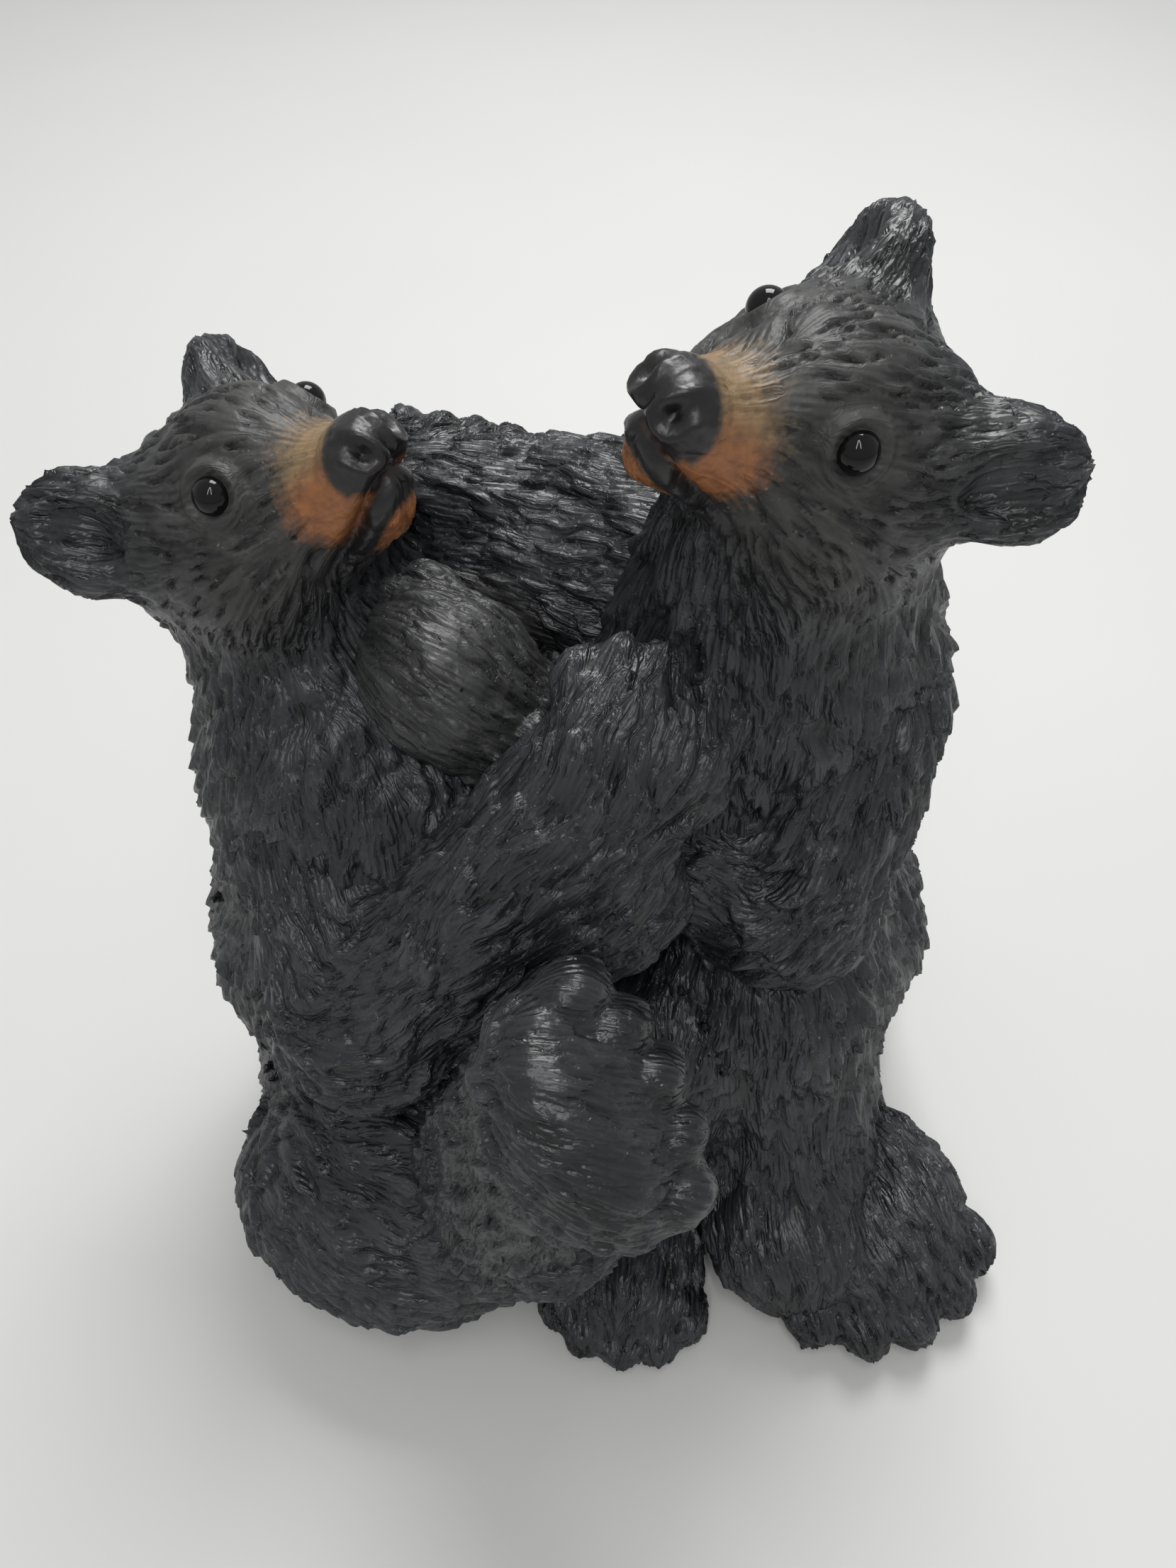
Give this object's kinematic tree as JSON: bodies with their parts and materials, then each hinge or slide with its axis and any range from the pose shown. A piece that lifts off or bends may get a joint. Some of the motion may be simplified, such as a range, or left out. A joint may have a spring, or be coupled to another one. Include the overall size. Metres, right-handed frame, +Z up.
{
  "type": "bear cubs figurine",
  "caption": "Free-standing figurine of bear cubs in a wrestling hug, one casting with modelled fur, flat underside and bead eyes.",
  "frame": {"origin": "on the surface the figure stands on, under the middle of its bounding box", "axes": "+Z up, -Y towards the viewer of the front, +X from the sitting cub towards the standing cub"},
  "size_m": [0.1646, 0.134, 0.1785],
  "materials": {
    "painted_resin": "cast resin painted satin black, with airbrushed tan and orange muzzles and brown faces",
    "bead_glass": "polished opaque black glass"
  },
  "bodies": {
    "root": {"cubs": "painted_resin", "left_cub_left_eye": "bead_glass", "left_cub_right_eye": "bead_glass", "right_cub_left_eye": "bead_glass", "right_cub_right_eye": "bead_glass"}
  },
  "joints": []
}
